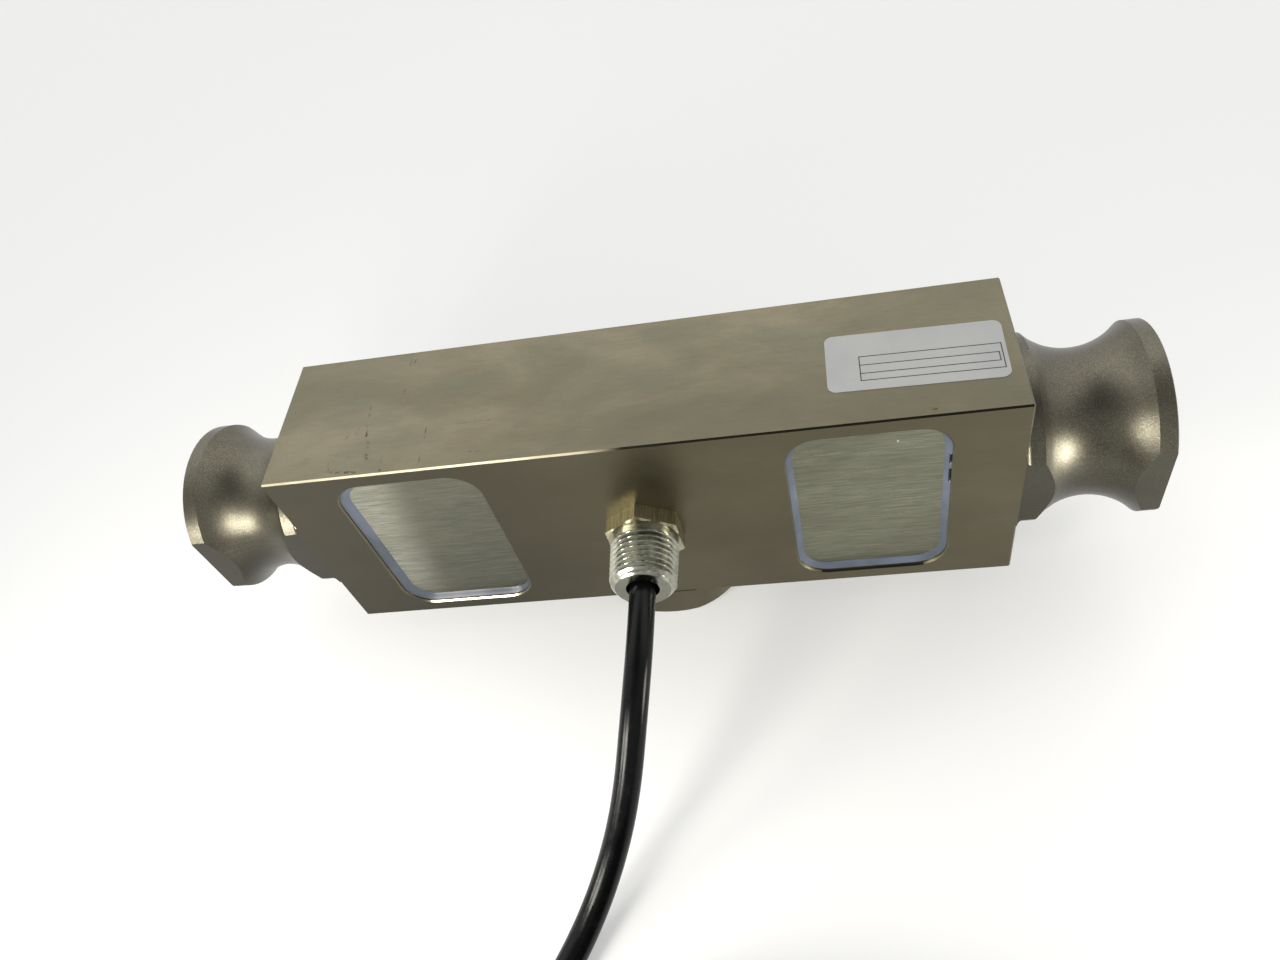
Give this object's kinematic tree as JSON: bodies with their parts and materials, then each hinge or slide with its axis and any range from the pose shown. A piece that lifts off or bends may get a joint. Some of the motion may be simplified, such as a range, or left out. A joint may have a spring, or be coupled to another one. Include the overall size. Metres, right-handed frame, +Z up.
{
  "type": "double ended beam load cell",
  "caption": "Steel shear beam load cell with a round groove at each turned end, covered gauge pockets, a boss below and a coiled cable.",
  "frame": {"origin": "centre of the load boss's lower face, on which the cell stands", "axes": "+X along the beam, +Z up towards the label face, the cable leaves towards -Y"},
  "size_m": [0.3008, 0.3237, 0.0903],
  "materials": {
    "plated_steel": "satin nickel plating over machined alloy steel",
    "cover_steel": "brushed along the beam",
    "sealant": "blue-grey silicone, slightly glossy",
    "gauge_film": "amber film",
    "lead_sleeve": "sleeved fine wires",
    "board": "green glass laminate",
    "pad_foam": "foam tape",
    "resistor": "moulded",
    "plated_fitting": "bright nickel plating, turned",
    "seal_rubber": "black nitrile",
    "cable_jacket": "glossy black jacket",
    "tie_plastic": "nylon",
    "shrink_sleeve": "shrunk polyolefin",
    "core_insulation": "five colours of core",
    "label_film": "white sticker with an empty ruled table"
  },
  "bodies": {
    "root": {"beam_body": "plated_steel", "cover_plate_front_left": "cover_steel", "cover_plate_front_right": "cover_steel", "cover_plate_back_left": "cover_steel", "cover_plate_back_right": "cover_steel", "sealant_bead_front_left": "sealant", "sealant_bead_front_right": "sealant", "sealant_bead_back_left": "sealant", "sealant_bead_back_right": "sealant", "strain_gauge_front_left": "gauge_film", "strain_gauge_front_right": "gauge_film", "strain_gauge_back_left": "gauge_film", "strain_gauge_back_right": "gauge_film", "leads_front_left": "lead_sleeve", "leads_back_left": "lead_sleeve", "leads_front_right": "lead_sleeve", "leads_back_right": "lead_sleeve", "cores_inside": "lead_sleeve", "terminal_board": "board", "board_pad": "pad_foam", "trim_resistors": "resistor", "cable_fitting": "plated_fitting", "fitting_o_ring": "seal_rubber", "gland_grommet": "seal_rubber", "gland_washer": "plated_fitting", "anchor_tie": "tie_plastic", "cable_inner_end": "cable_jacket", "cable_tube": "cable_jacket", "cable_coil": "cable_jacket", "coil_ties": "tie_plastic", "end_sleeve": "shrink_sleeve", "cable_cores": "core_insulation", "label": "label_film"}
  },
  "joints": []
}
